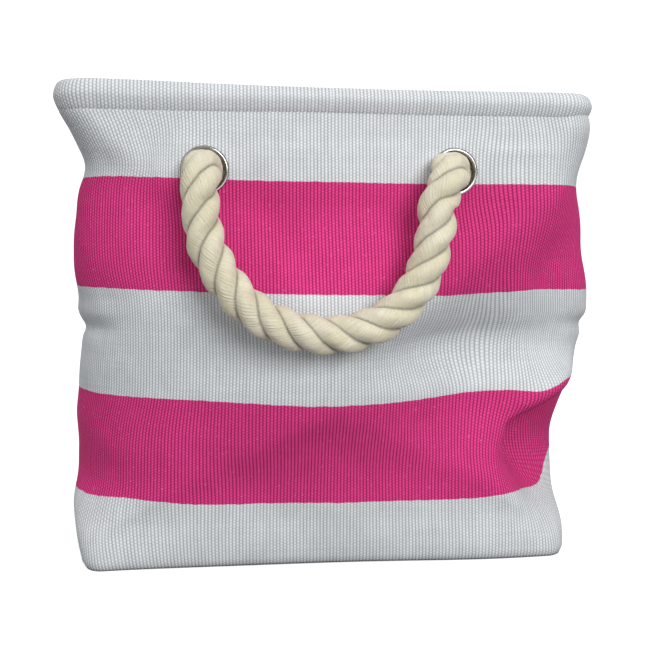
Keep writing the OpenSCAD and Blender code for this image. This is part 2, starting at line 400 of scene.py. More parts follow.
def tape_material(name, colour):
    """Herringbone cotton tape: slanting ribs that turn about each few millimetres."""
    n = Nodes(name, 0.9, sheen=0.1)
    where, u, v = n.cloth_uv()
    zigzag = n.math("PINGPONG", u, 3 * MM)
    rib = n.math("SINE", n.times(n.add(zigzag, v), TAU / (0.9 * MM)))
    # painted shade in the hollows between the ribs, and a random tone
    tone = n.add(n.span(rib, -1, 1, 0.86, 1.02), n.vary(n.noise(where, 60.0, 4), -0.04, 0.04))
    return n.done(n.shade(n.flat(colour), tone), n.bump(rib, 0.15 * MM, 0.7))


def rope_material(name):
    """Cotton yarns laid along each strand, with painted shade in the grooves between strands."""
    n = Nodes(name, 0.92, sheen=0.25)
    _, u, v = n.cloth_uv()
    worn = n.span(n.noise(n.place(), 160.0, 3), 0.36, 0.62, 0.05, 1.0)
    yarn_wave = n.times(n.math("SINE", n.times(u, TAU)), worn)
    fibres = n.noise(n.vector(n.times(u, 2.2), n.times(v, 45.0)), 1.0, 5, 0.65)
    blotch = n.noise(n.place(), 55.0, 4)
    depth = n.tree.nodes.new("ShaderNodeAttribute")
    depth.attribute_name = "groove"
    # painted shade between the yarns, and random fibre tone
    tone = n.add(n.span(yarn_wave, -1, 1, 0.94, 1.01), n.vary(fibres, -0.13, 0.09))
    tone = n.add(tone, n.vary(n.noise(n.place(), 1300.0, 2), -0.06, 0.05))
    tone = n.add(tone, n.vary(blotch, -0.05, 0.05))
    # painted shade: darker in the grooves between strands
    tone = n.times(tone, n.span(depth.outputs["Fac"], 0.0, 1.0, 1.0, 0.5))
    husk = n.span(n.noise(n.place(), 900.0, 2), 0.70, 0.78, 0.0, 0.55)
    colour = n.mix(husk, n.mix(n.span(blotch, 0.35, 0.7), ROPE_CREAM, PALE_CREAM), HUSK_BROWN)
    ply = n.bump(yarn_wave, 0.22 * MM, 0.45)
    return n.done(n.shade(colour, tone), n.bump(fibres, 0.45 * MM, 0.9, ply))


def thread_material(name, colour):
    n = Nodes(name, 0.7, sheen=0.1)
    twist = n.noise(n.place(), 2500.0, 2)
    shaded = n.shade(n.flat(colour), n.vary(twist, 0.8, 1.05))
    return n.done(shaded, n.bump(twist, 0.1 * MM, 0.5))


def metal_material(name, colour, rough, scratch=0.06, grain=260.0):
    """Metal with fine wear: its gloss varies with small scratches and handling marks."""
    n = Nodes(name, rough, metal=1.0)
    where = n.place()
    marks = n.noise(where, grain, 6, 0.7)
    haze = n.noise(where, 70.0, 3)
    tone = n.vary(haze, 0.92, 1.03)
    return n.done(
        n.shade(n.flat(colour), tone),
        n.bump(marks, 0.05 * MM, 0.25),
        n.span(marks, 0.3, 0.75, rough, rough + scratch),
    )


def board_material(name):
    n = Nodes(name, 0.85)
    fleck = n.noise(n.place(), 700.0, 4, 0.7)
    layer = n.noise(n.place(), 90.0, 3)
    colour = n.mix(n.span(fleck, 0.55, 0.72), (0.44, 0.33, 0.2), (0.26, 0.19, 0.11))
    return n.done(n.shade(colour, n.vary(layer, 0.92, 1.05)), n.bump(fleck, 0.15 * MM, 0.5))


canvas = canvas_material("striped_canvas")
plain_canvas = canvas_material("white_canvas", striped=False)
inner_canvas = lining_material("canvas_inside", INNER_WHITE)
lining_cloth = lining_material("lining_cloth", (0.66, 0.68, 0.70), 0.8)
tape_cotton = tape_material("cotton_tape", (0.74, 0.73, 0.69))
rope_cotton = rope_material("rope_cotton")
stitch_thread = thread_material("stitch_thread", (0.74, 0.74, 0.72))
nickel = metal_material("polished_nickel", (0.36, 0.35, 0.335), 0.10, 0.05)
wire_steel = metal_material("wire_steel", (0.5, 0.5, 0.5), 0.35)
crimp_alloy = metal_material("crimp_alloy", (0.62, 0.62, 0.63), 0.4)
card = board_material("stiff_board")

# ---------- camera ----------


LENS = 50.2
CAMERA_AWAY = 0.50                    # from the rim's front
CAMERA_X, CAMERA_Z = -0.0038, 0.190
YAW, PITCH = math.radians(6.0), math.radians(5.67)


def make_camera():
    data = bpy.data.cameras.new("camera")
    data.sensor_width = 36
    data.lens = LENS
    cam = add_object("camera", data)
    rim_front = -RIM_B - RIM_T / 2
    cam.location = (
        CAMERA_X - CAMERA_AWAY * math.sin(YAW), rim_front - CAMERA_AWAY * math.cos(YAW), CAMERA_Z)
    cam.rotation_euler = (math.radians(90) - PITCH, 0, -YAW)
    bpy.context.scene.camera = cam


make_camera()

# ---------- rope ----------


def curve_through(points, step):
    """Evenly spaced points on a smooth curve through the given ones."""
    p = np.array(points, float)
    chord = np.concatenate([[0], np.cumsum(np.linalg.norm(np.diff(p, axis=0), axis=1) ** 0.5)])
    fine = np.linspace(0, chord[-1], 40 * len(p))
    line = np.stack([hermite(fine, chord, p[:, k]) for k in range(3)], 1)
    arc = arc_along(line)
    at = np.linspace(0, arc[-1], max(8, int(round(arc[-1] / step))))
    return np.stack([np.interp(at, arc, line[:, k]) for k in range(3)], 1)


def frames_along(line):
    """A tangent and two directions across it at each point, turning as little as possible."""
    tangent = np.gradient(line, axis=0)
    tangent /= np.linalg.norm(tangent, axis=1)[:, None]
    side = np.cross(tangent[0], [0.31, 0.57, 0.76])
    sides = []
    for t in tangent:
        side = side - t * side.dot(t)
        side /= np.linalg.norm(side)
        sides.append(side)
    sides = np.array(sides)
    return tangent, sides, np.cross(tangent, sides)


STRANDS = 3
YARNS = 22                            # round one strand
COLUMNS = 144


def rope_mesh(name, line, radius, squeeze=None, start_turn=0.0):
    """A three-strand rope along a line: a tube whose section is three lobes that turn with the lay."""
    _, side, up = frames_along(line)
    arc = arc_along(line)
    angle = np.arange(COLUMNS) * TAU / COLUMNS
    strand_r, strand_at = 0.61, 0.39      # of the rope's radius
    turn = start_turn + TAU * arc / LAY
    around = angle + 0 * turn[:, None]
    local = (around - turn[:, None]) % (TAU / STRANDS) - math.pi / STRANDS
    reach = strand_at * np.cos(local) + np.sqrt(strand_r**2 - (strand_at * np.sin(local)) ** 2)
    # angle round the strand's own middle, and the yarns that run along it
    own = np.arctan2(reach * np.sin(local), reach * np.cos(local) - strand_at)
    yarn = own * YARNS / TAU + arc[:, None] * 2.3 * YARNS / LAY
    yarn = yarn + waves(arc[:, None], around * radius, 0.03, 3) * 0.5
    ridge = np.abs(np.sin(math.pi * yarn))
    groove = smooth((np.abs(local) / (math.pi / STRANDS) - 0.78) / 0.22)
    lumps = waves(arc[:, None], around * radius, 0.011, 11) * 0.012
    lumps = lumps + waves(arc[:, None], around * radius, 0.004, 12) * 0.006
    size = radius if squeeze is None else radius * squeeze[:, None]
    r = size * (reach + (ridge - 0.6) * 0.006 * (1 - groove) + lumps)
    points = line[:, None] + r[..., None] * (
        np.cos(around)[..., None] * side[:, None] + np.sin(around)[..., None] * up[:, None]
    )
    uv = np.stack([yarn, arc[:, None] + 0 * around], 2)
    obj = grid_mesh(name, points, uv, rope_cotton, closed_u=True)
    mark = obj.data.attributes.new("groove", "FLOAT", "POINT")
    mark.data.foreach_set("value", groove.ravel().astype(np.float32))
    close_ends(obj, len(line))
    return obj


def close_ends(obj, rings):
    """Caps both ends of a tube with a fan of faces round its middle."""
    def cap(bm):
        ends = [[bm.verts[ring * COLUMNS + c] for c in range(COLUMNS)] for ring in (rings - 1, 0)]
        bmesh.ops.poke(bm, faces=[bm.faces.new(loop) for loop in ends])
        bmesh.ops.recalc_face_normals(bm, faces=bm.faces)

    edit_mesh(obj, cap)


# Middle line of the hanging loop: across, and down from the turning axis, in millimetres
ROUTE = (
    (-70, 20), (-69, 29.5), (-65.5, 40), (-60, 50.5), (-53, 60),
    (-45, 68), (-36, 74), (-26.5, 78), (-17, 80.5), (-6.5, 81.5), (4, 81), (14.5, 78.5),
    (24.5, 74), (33.5, 67.5), (41, 58.5), (47, 47.5), (50.5, 36), (53, 25),
)
ROPE_STRAIGHT = 8 * MM
BEND_R = 18 * MM
KNOT_FACE = 12 * MM                   # from the wall's face to where the rope enters its knot
LEG_OUT = ROPE_STRAIGHT + BEND_R      # how far from the wall the loop hangs at its top
LOW_OUT = 35 * MM                     # and at its lowest point


def handle_line():
    """The front handle's rope, from the left knot out through its eyelet, down, up and in again."""
    low = max(d for _, d in ROUTE) * MM

    def end(x, lean_in, rise_by, early):
        points = [(x, KNOT_FACE - inset, 0) for inset in (0, KNOT_FACE / 2, KNOT_FACE)]
        points.append((x + early * lean_in, -ROPE_STRAIGHT, 0.5 * MM))
        for turn in (22.5, 45, 67.5, 90):
            a = math.radians(turn)
            inward = lean_in * (early + (1 - early) * (1 - math.cos(a)))
            rise = rise_by * math.sin(2 * a)
            out, down = ROPE_STRAIGHT + BEND_R * math.sin(a), BEND_R * (1 - math.cos(a))
            points.append((x + inward, -out, rise - down))
        return points

    middle = []
    for across, down in ROUTE:
        drop = down * MM + HINGE_DOWN
        share = (drop - BEND_R) / (low + HINGE_DOWN - BEND_R)
        middle.append((across * MM, -LEG_OUT - (LOW_OUT - LEG_OUT) * share, -drop))
    left = end(-EYE_X - 0.5 * MM, -1.5 * MM, 1.2 * MM, 0.12)
    right = end(EYE_X, -15 * MM, -0.2 * MM, 0.32)
    points = left + middle + right[::-1]
    return curve_through(np.array(points) + [0, -WALL_B, EYE_Z], 1.2 * MM)


def make_handle(side, line):
    rope = rope_mesh(f"{side}_rope", line, ROPE_R)
    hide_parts(f"{side}_handle_rope", f"{side}_left_rope_end", f"{side}_right_rope_end")
    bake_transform(rope)


KNOT_MID = 31 * MM                    # from the wall's face to the middle of the knot


def knot_line(turned):
    """An overhand knot with its tail: x across, y into the bag, z up, from the wall's face inwards."""
    k, flat = 6.8 * MM, 1.25
    t = np.linspace(0.28, TAU - 0.28, 26)
    ring = np.stack([
        k * (np.sin(t) + 2 * np.sin(2 * t)),
        KNOT_MID + k * flat * np.sin(3 * t),
        k * (np.cos(t) - 2 * np.cos(2 * t)),
    ], 1)
    ring[:, 0] *= turned
    start = [(0, KNOT_FACE - 8 * MM, 0), (0, KNOT_FACE - 2 * MM, 0)]
    tail = [
        (-0.3 * k * turned, KNOT_MID + 9 * MM, -1.5 * k),
        (-0.2 * k * turned, KNOT_MID + 18 * MM, -2.6 * k),
        (0, KNOT_MID + 23 * MM, -4.2 * k), (0.1 * k * turned, KNOT_MID + 25 * MM, -6.3 * k),
    ]
    return curve_through(np.vstack([start, ring, tail]), 1.3 * MM)


def make_knot(side, hand):
    turned = 1 if hand == "left" else -1
    x = (-EYE_X if hand == "left" else EYE_X) * (1 if side == "front" else -1)
    line = knot_line(turned)
    squeeze = 0.80 + 0.20 * smooth((np.arange(len(line)) / len(line) - 0.80) / 0.12)
    squeeze = squeeze + 0.2 * smooth(1 - np.arange(len(line)) / len(line) / 0.06)
    if side == "front":
        line = line * [1, 1, 1] + [x, -WALL_B, EYE_Z]
    else:
        line = line * [-1, -1, 1] + [x, WALL_B, EYE_Z]
    knot = rope_mesh(f"{side}_{hand}_knot", line, ROPE_R, squeeze)
    fray = frayed_end(f"{side}_{hand}_fray", line, ROPE_R)
    for piece in (knot, fray):
        bag_piece(piece)
    return [knot, fray]


def frayed_end(name, line, radius):
    """Loose yarn ends past the cut end of a tail."""
    tangent, side, up = frames_along(line)
    end, t, s, u = line[-1], tangent[-1], side[-1], up[-1]
    bm = bmesh.new()
    for _ in range(70):
        r, a = radius * 0.85 * math.sqrt(rng.random()), rng.random() * TAU
        out = s * math.cos(a) + u * math.sin(a)
        spread, long = rng.uniform(0.1, 0.7) * r / radius, rng.uniform(6, 12) * MM
        bend = rng.normal(0, 0.12, 3)
        base = end - t * 2 * MM + out * r
        path = [base + (t + out * spread * k / 4 + bend * k / 4) * long * k / 4 for k in range(5)]
        thread_tube(bm, path, rng.uniform(0.45, 0.7) * MM, 5)
    layer = bm.loops.layers.uv.new("cloth")
    for face in bm.faces:
        for loop in face.loops:
            loop[layer].uv = (loop.vert.co.x * 300, loop.vert.co.z)
    return mesh_object(name, bm, rope_cotton)


def thread_tube(bm, path, radius, sides):
    """A closed thin tube along a few points, tapering to its far end."""
    path = np.array(path)
    _, side, up = frames_along(path)
    rings = []
    for i, p in enumerate(path):
        size = radius * (1 - 0.35 * i / (len(path) - 1))
        rings.append([
            bm.verts.new(p + size * (math.cos(a) * side[i] + math.sin(a) * up[i]))
            for a in (TAU * j / sides for j in range(sides))
        ])
    for low, high in zip(rings, rings[1:]):
        for j in range(sides):
            bm.faces.new((low[j], low[(j + 1) % sides], high[(j + 1) % sides], high[j]))
    bm.faces.new(rings[0][::-1])
    bm.faces.new(rings[-1])


KNOTS = {side: make_knot(side, "left") + make_knot(side, "right") for side in ("front", "back")}
front_line = handle_line()
make_handle("front", front_line)
make_handle("back", half_turn(front_line))

# ---------- canvas wall ----------

# Depth below the top of the rim as a share of the height, how far the sides and the front stand
# out from the top of the wall, how much rounder the corners are, and the crown of the front (mm)
SECTIONS = (
    (1, -6.3, -7, -6, 0), (0.926, -3, -4, 4, 2), (0.833, 0, -4, 44, 6), (0.722, 1.5, -4, 46, 14),
    (0.611, 4, -1, 44, 18), (0.5, 4, 3, 40, 16), (0.426, 5, 5, 36, 12),
    (0.352, 4, 4, 30, 7), (0.24, 0, 0, 18, 0), (0.178, -2.5, 0, 15, 0), (0.111, -1.5, 0, 8, 0),
    (0.052, 0, 0, 0, 0), (0.03, 0, 0, 0, 0),
)


def wall_grid(cols=270, rows=150):
    """Points of the front half of the wall, from the left seam round the front to the right seam."""
    table = np.array(SECTIONS)
    z = np.linspace(0, WALL_TOP, rows)
    share = HEIGHT * (1 - table[:, 0])
    a, b, r, crown = (hermite(z, share, table[:, k]) * MM for k in (1, 2, 3, 4))
    a, b, r = a + WALL_A, b + WALL_B, r + WALL_R
    crown = np.maximum(crown, 0)
    w = np.linspace(-1, 1, cols)
    flat, arc, rest = a - r, r * math.pi / 2, b - r
    total = flat + arc + rest
    s = np.abs(w) * total[:, None]
    flat, arc, rest, a, b, r, crown = (k[:, None] + 0 * s for k in (flat, arc, rest, a, b, r, crown))
    turn = np.clip((s - flat) / r, 0, math.pi / 2)
    x = np.where(s < flat, s, flat + r * np.sin(turn))
    y = b - r + r * np.cos(turn) - np.maximum(0, s - flat - arc)
    y = y + np.where(s < flat, crown * (1 - (s / flat) ** 2) ** 2, 0)
    points = np.stack([x * np.sign(w), -y, z[:, None] + 0 * s], 2)
    across = s * np.sign(w)
    return points, across, z[:, None] + 0 * s


def normals_of(points):
    du = np.gradient(points, axis=1)
    dv = np.gradient(points, axis=0)
    n = np.cross(du, dv)
    return n / np.linalg.norm(n, axis=2)[..., None]


def hollow(x, z, centre, size, depth):
    """A rounded hollow or swelling, in millimetres."""
    return depth * np.exp(-(((x - centre[0]) / size[0]) ** 2) - ((z - centre[1]) / size[1]) ** 2)


# The empty bag slumps to its right: how far its right and left sides lie to the right of the
# plain shape, at heights from the floor (mm)
SLUMP_HEIGHTS = (0, 30, 45, 60, 80, 100, 120, 138, 150, 175, 200, 215, 230, 245, 256, 262)
RIGHT_SIDE = (1, 4, 3.5, 3.5, 8, 11.5, 10.5, 13, 11, 8, 8.5, 7.5, 7.5, 7, 4.5, 2.5)
RIM_SHIFT = 2.5 * MM                  # of the rim's right side, to the right
RIM_DROP = 2.6 * MM                   # of the rim's lower edge at the left
LEFT_SIDE = (0, -5, -4, -3, -1, 5, 7, 8, 8, 5, 5, 6, 9, 4, -1, -1)


def cloth_lift(x, z):
    """How far the cloth hangs above its plain height: up at the left, down a little at the right."""
    high, low = smooth(-x / (150 * MM)), smooth((x + 10 * MM) / (60 * MM))
    return (3.0 * high - 0.7 * low) * MM * smooth(z / (120 * MM))


def side_fullness(x, y, z, middle, reach):
    """1 where the right side puffs out behind the dent, fading to both corners, up and down."""
    across = smooth((y + 75 * MM) / (60 * MM)) * smooth((80 * MM - y) / (60 * MM))
    across = across * smooth((x - 100 * MM) / (30 * MM))
    return across * np.exp(-(((z - middle * MM) / (reach * MM)) ** 2))


# Where the stripes on the front are drawn up (mm): place, size, how far
DRAWN_UP = (
    ((105, 97), (30, 22), 2.6), ((114, 36), (20, 22), 2.8), ((140, 36), (16, 24), -0.9),
    ((-115, 36), (25, 20), 3.2), ((95, 158), (38, 22), -2.4),
)


def cloth_height(points, z):
    """Height along the cloth, which the stripes follow: drawn up low on the right side."""
    x, y = points[..., 0], points[..., 1]
    front = smooth(-y / (60 * MM))
    twist = smooth((x - 122 * MM) / (28 * MM)) * front * np.exp(-(((z - 104 * MM) / (17 * MM)) ** 2))
    drawn = sum(hollow(x / MM, z / MM, *spot) for spot in DRAWN_UP) * front * MM
    return z - cloth_lift(x, z) - 15 * MM * side_fullness(x, y, z, 50, 32) - 9 * MM * twist - drawn


def slump(points, z):
    """Moves wall points sideways as the soft sides hang, and up at the rim."""
    x, y = points[..., 0], points[..., 1]
    heights = np.array(SLUMP_HEIGHTS) * MM
    right, left = (hermite(z, heights, np.array(k) * MM) for k in (RIGHT_SIDE, LEFT_SIDE))
    near = (np.abs(x) - 40 * MM) / (100 * MM)
    right = right + 8 * MM * side_fullness(x, y, z, 50, 30)
    right = right - hollow(y / MM, z / MM, (-82, 64), (26, 24), 9) * MM
    # the cloth stays where it is round the eyelets
    held = smooth((np.hypot(np.abs(x) - EYE_X, z - EYE_Z) - 14 * MM) / (26 * MM))
    moved = points.copy()
    moved[..., 0] += smooth(near) * np.where(x > 0, right, left) * held
    moved[..., 2] += cloth_lift(x, z) * smooth((z - 236 * MM) / (20 * MM))
    return moved


def front_push(points, z):
    """How far the front wall is pushed towards the back; nothing at the side seams."""
    x, z, fade = points[..., 0] / MM, z / MM, smooth(-(points[..., 1] + 8 * MM) / (55 * MM))
    d = hollow(x, z, (-135, 36), (32, 24), 8) + hollow(x, z, (-95, 45), (35, 30), 3)
    d += hollow(x, z, (82, 110), (40, 40), 15)
    d += hollow(x, z, (142, 50), (22, 26), 24)
    d -= hollow(x, z, (-142, 0), (26, 16), 1.5) + hollow(x, z, (95, 0), (60, 18), 4)
    return d * fade * MM


def fold(s, z, start, end, width, depth, fade=0.25):
    """A straight soft fold along a line in the cloth, outwards for a positive depth."""
    (s0, z0), (s1, z1) = start, end
    length = math.hypot(s1 - s0, z1 - z0)
    along = ((s - s0) * (s1 - s0) + (z - z0) * (z1 - z0)) / length**2
    off = ((s - s0) * (z1 - z0) - (z - z0) * (s1 - s0)) / length
    ends = smooth(along / fade) * smooth((1 - along) / fade)
    return depth * ends * np.exp(-((off / width) ** 2))


def beside(s, z, start, end):
    """Distance to the right of the line from start to end, rounded off at the line itself."""
    (s0, z0), (s1, z1) = start, end
    off = ((s - s0) * (z1 - z0) - (z - z0) * (s1 - s0)) / math.hypot(s1 - s0, z1 - z0)
    return 2 * np.logaddexp(0, off / 2)


def lean(distance, reach, depth):
    """Cloth that turns at a crease and eases off again within reach of it."""
    t = np.clip(distance / reach, 0, 1)
    return depth * t * (2 - t)


def front_shape(s, z):
    """How far the front wall stands out from its plain shape, in millimetres along the cloth."""
    s, z = s / MM, z / MM
    ahead = smooth((176 - np.abs(s)) / 60)      # 1 on the front, 0 on the sides
    d = 0 * s
    # the fold across the middle, deepest round the corners
    d += fold(s, z, (-240, 135), (-118, 137), 4.5, -2.3, 0.35)
    d += fold(s, z, (250, 137), (120, 135), 5, -3.2, 0.4)
    d += fold(s, z, (-220, 147), (-120, 147), 5, 1.2)
    d += ahead * (hollow(s, z, (88, 121), (58, 14), -4.5) + hollow(s, z, (-40, 124), (75, 18), -3.5))
    # the left part leans back from a crease below the rim's corner and beside the rope
    left = np.minimum(beside(s, z, (-152, 262), (-86, 214)), beside(s, z, (-87, 212), (-92, 120)))
    d += ahead * lean(left, 42, -3.5) * smooth((z - 128) / 30)
    d += ahead * lean(beside(s, z, (-84, 118), (-80, 20)), 55, -4) * smooth((120 - z) / 50)
    # the upper right part leans in below a slanting crease
    d += ahead * lean(beside(s, z, (52, 148), (142, 230)), 64, -15) * smooth((z - 98) / 34)
    # soft folds inside the loop and under the rim
    d += fold(s, z, (-60, 232), (4, 150), 10, -2.8)
    d += fold(s, z, (42, 239), (132, 236), 3, 0.8)
    # two crisp ridges rise from the foot and meet in the middle
    inside = np.minimum(beside(s, z, (-133, 18), (0, 93)), beside(s, z, (0, 93), (128, 26)))
    d += lean(inside, 30, -5)
    # the belly hangs over the dent in the right corner
    along = ((s - 101) * 82 + (z - 78) * 44) / 93**2
    under = ((s - 101) * 44 - (z - 78) * 82) / 93
    pocket = smooth(under / 4 + 0.3) * np.exp(-((np.maximum(under, 0) / 34) ** 2))
    pocket = pocket - 0.25 * np.exp(-((under / 7 + 1) ** 2))
    d -= 18 * pocket * smooth(along / 0.2) * smooth((0.92 - along) / 0.5)
    d += ahead * lean(beside(s, z, (101, 0), (101, 90)), 40, -6) * smooth((92 - z) / 24)
    # the strip behind the eyelets
    d += 0.8 * smooth((105 - np.abs(s)) / 14) * smooth((243 - z) / 8) * smooth((z - 190) / 30)
    return d * MM


def back_shape(s, z):
    s, z = s / MM, z / MM
    d = fold(s, z, (-240, 136), (240, 139), 4.5, -1.8)
    d += fold(s, z, (-150, 256), (-90, 212), 8, -2.0)
    d += fold(s, z, (150, 256), (95, 210), 8, -1.6)
    d += hollow(s, z, (-160, 62), (50, 55), -8)
    d += fold(s, z, (-60, 40), (20, 96), 14, 1.6)
    d += fold(s, z, (88, 12), (96, 120), 13, 1.8)
    d += 0.8 * smooth((105 - np.abs(s)) / 5) * smooth((243 - z) / 4) * smooth((z - 205) / 6)
    return d * MM


def cloth_out(side, s, z):
    """How far the cloth of a side, seen from outside, stands out from its plain shape."""
    shape = (front_shape if side == "front" else back_shape)(s, z)
    seed = 20 if side == "front" else 50
    ripples = waves(s, z, 0.085, seed) * 0.9 * MM + waves(s, z, 0.03, seed + 1) * 0.22 * MM
    ripples = ripples * smooth((235 * MM - np.abs(s)) / (30 * MM))
    free = smooth(z / (30 * MM)) * smooth((WALL_TOP - z) / (40 * MM))
    near_eye = np.minimum(np.hypot(s - EYE_X, z - EYE_Z), np.hypot(s + EYE_X, z - EYE_Z))
    return (shape + ripples) * free * smooth((near_eye - 15 * MM) / (18 * MM))


def wall_points(side):
    """The wall's outer face: points, places along the cloth, heights along the cloth."""
    points, s, z = wall_grid()
    if side == "front":
        points[..., 1] += front_push(points, z)
    edge = np.abs(s) - np.abs(s[:, -1:])
    seam = -1.2 * MM * np.exp(-((edge / (1.6 * MM)) ** 2))
    foot = -1.3 * MM * (1 - smooth(z / (3.5 * MM)))
    points = points + normals_of(points) * (cloth_out(side, s, z) + seam + foot)[..., None]
    if side == "back":
        points = half_turn(points)
    points = slump(points, z)
    return points, s, z


WALLS = {side: wall_points(side) for side in ("front", "back")}


def make_wall(side):
    points, s, z = (k.copy() for k in WALLS[side])
    hole = cut_eyelets(points, s, z, 1 if side == "front" else -1)
    uv = np.stack([s + (0.0 if side == "front" else 0.6), cloth_height(points, z)], 2)
    obj = grid_mesh(f"{side}_wall", points, uv, canvas)
    drop_vertices(obj, hole)
    obj.data.materials.append(inner_canvas)
    thicken(obj, CANVAS_T, 1)
    bag_piece(obj, f"{side}_panel")


def cut_eyelets(points, s, z, hand, radius=11.9 * MM, within=1.9 * MM, past=1.0 * MM):
    """Pulls the grid to a circle round each eyelet and names the vertices inside it."""
    inside = np.zeros(s.shape, bool)
    for x in (-EYE_X, EYE_X):
        ds, dz = s - x, z - EYE_Z
        d = np.hypot(ds, dz)
        inside |= d < radius - within
        ring = (d >= radius - within) & (d < radius + past)
        s[ring], z[ring] = x + ds[ring] / d[ring] * radius, EYE_Z + dz[ring] / d[ring] * radius
        points[ring, 0], points[ring, 2] = hand * s[ring], z[ring]
    return inside.ravel()


def drop_vertices(obj, gone):
    edit_mesh(obj, lambda bm: bmesh.ops.delete(
        bm, geom=[bm.verts[i] for i in np.flatnonzero(gone)], context="VERTS"))


for side in ("front", "back"):
    make_wall(side)

# ---------- rim ----------


def rim_path(step=2 * MM):
    """The rim's middle line: points and outward directions, closed, from the middle of the front."""
    a, b, quarter = RIM_A - RIM_R, RIM_B - RIM_R, RIM_R * math.pi / 2
    begins = [(0, -RIM_B), (RIM_A, -b), (a, RIM_B), (-RIM_A, b), (-a, -RIM_B)]
    centres = [(a, -b), (a, b), (-a, b), (-a, -b)]
    starts = np.cumsum([0, a, quarter, 2 * b, quarter, 2 * a, quarter, 2 * b, quarter, a])
    count = int(round(starts[-1] / step))
    points, outs = [], []
    for at in np.arange(count) * starts[-1] / count:
        k = int(np.searchsorted(starts, at, side="right") - 1)
        d, part = at - starts[k], k // 2
        if k % 2 == 0:
            heading = math.radians(90 * (part % 4))
            points.append(begins[part] + d * np.array([math.cos(heading), math.sin(heading)]))
            outs.append((math.sin(heading), -math.cos(heading)))
        else:
            angle = math.radians(-90 + 90 * part) + d / RIM_R
            outs.append((math.cos(angle), math.sin(angle)))
            points.append(centres[part] + RIM_R * np.array(outs[-1]))
    return np.array(points), np.array(outs), starts[-1]


def tube_points(path, out, across, z):
    """Points round a level path, from their distance outwards and their height."""
    xy = path[:, None] + out[:, None] * across[..., None]
    return np.concatenate([xy, (z + 0 * across)[..., None]], 2)


def make_rim():
    path, out, total = rim_path()
    count = len(path)
    along = np.arange(count) * total / count
    around = 36
    a = np.arange(around) * TAU / around - math.pi / 2
    half_t, half_h = RIM_T / 2, RIM_H / 2
    px, pz = half_t * np.cos(a) * (1 + 0.06 * np.cos(2 * a)) / 1.06, half_h * np.sin(a)
    px = px * (1 - 0.35 * np.maximum(-np.sin(a), 0))     # narrower towards its lower edge
    bumps = waves(along[:, None], a * 0.01, 0.05, 31) * 0.10 * MM
    bumps = bumps + waves(along[:, None], a * 0.004, 0.014, 32) * 0.06 * MM
    across = px + bumps
    rise = pz + bumps * 0.6
    points = tube_points(path, out, across, HEIGHT - RIM_H / 2 + rise)
    points[..., 0] += RIM_SHIFT * smooth(points[..., 0] / RIM_A) * (0.6 + 0.4 * np.cos(a))
    points[..., 2] += cloth_lift(points[..., 0], HEIGHT)
    points[..., 2] -= RIM_DROP * smooth(-points[..., 0] / (120 * MM)) * (0.5 - 0.5 * np.sin(a))
    girth = np.concatenate([[0], np.cumsum(np.hypot(np.diff(px), np.diff(pz)))])
    uv = np.stack([along[:, None] + 0 * a, 0 * along[:, None] + girth], 2)
    obj = grid_mesh("rim_tube", points, uv, plain_canvas, closed_u=True, closed_v=True)
    turn_faces_out(obj)
    bag_piece(obj, "rim_binding")


make_rim()

# ---------- base and tapes ----------


def rounded_grid(half_a, half_b, radius, z, step=4 * MM):
    """A flat grid with rounded corners: rows by columns of points, and their places as UVs."""
    xs = np.linspace(-half_a, half_a, int(2 * half_a / step))
    ys = np.linspace(-half_b, half_b, int(2 * half_b / step))
    y, x = np.meshgrid(ys, xs, indexing="ij")
    ex, ey = np.maximum(np.abs(x) - (half_a - radius), 0), np.maximum(np.abs(y) - (half_b - radius), 0)
    d = np.hypot(ex, ey)
    big = np.maximum(ex, ey)
    pull = np.where(d > 0, big / np.maximum(d, 1e-9), 1)
    x2 = np.sign(x) * (np.abs(x) - ex + ex * pull)
    y2 = np.sign(y) * (np.abs(y) - ey + ey * pull)
    return np.stack([x2, y2, z + 0 * x], 2), np.stack([x2, y2], 2)


def follow_foot(points):
    """Moves the base with the foot of the walls."""
    points = slump(points, points[..., 2])
    points[..., 1] += front_push(points, points[..., 2]) * smooth(-points[..., 1] / (100 * MM))
    return points


FOOT_LIFT = 0.35 * MM                 # of the base cloth's edge off the floor


def make_base_cloth():
    low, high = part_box("base_panel")
    points, uv = rounded_grid(high[0], high[1], 11 * MM, 0.0)
    edge = np.minimum(high[0] - np.abs(points[..., 0]), high[1] - np.abs(points[..., 1]))
    points[..., 2] = FOOT_LIFT * (1 - smooth(edge / (6 * MM)))
    obj = grid_mesh("base_cloth", follow_foot(points)[:, ::-1], uv[:, ::-1], plain_canvas)
    thicken(obj, high[2] - low[2] - FOOT_LIFT)
    bag_piece(obj, "base_panel")


def make_lining():
    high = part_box("base_lining")[1]
    points, uv = rounded_grid(high[0] - 0.4 * MM, high[1] - 0.4 * MM, 10 * MM, 0.0, 3 * MM)
    x, y = points[..., 0], points[..., 1]
    edge = np.minimum(high[0] - np.abs(x), high[1] - np.abs(y))
    over_board = smooth((edge - 3.4 * MM) / (3 * MM))
    skirt = smooth(1 - edge / (2.2 * MM))
    points[..., 2] = high[2] - 0.25 * MM - 0.7 * MM * (1 - over_board) - 2.2 * MM * skirt
    points[..., 2] += waves(x, y, 0.06, 61) * 0.12 * MM * over_board
    obj = grid_mesh("floor_sheet", points, uv, lining_cloth)
    thicken(obj, 0.9 * MM)
    bag_piece(obj, "base_lining")


make_base_cloth()
make_lining()


def stitches(name, rows, radius=0.32 * MM):
    """Rows of short slightly bowed threads, one mesh."""
    bm = bmesh.new()
    for p, q, up in zip(*(np.vstack([row[k] for row in rows]) for k in range(3))):
        bow = ((t, radius * (0.2 + 1.6 * math.sin(math.pi * t))) for t in (0, 0.2, 0.5, 0.8, 1))
        thread_tube(bm, [p + (q - p) * t + up * rise for t, rise in bow], radius, 6)
    bag_piece(mesh_object(name, bm, stitch_thread))


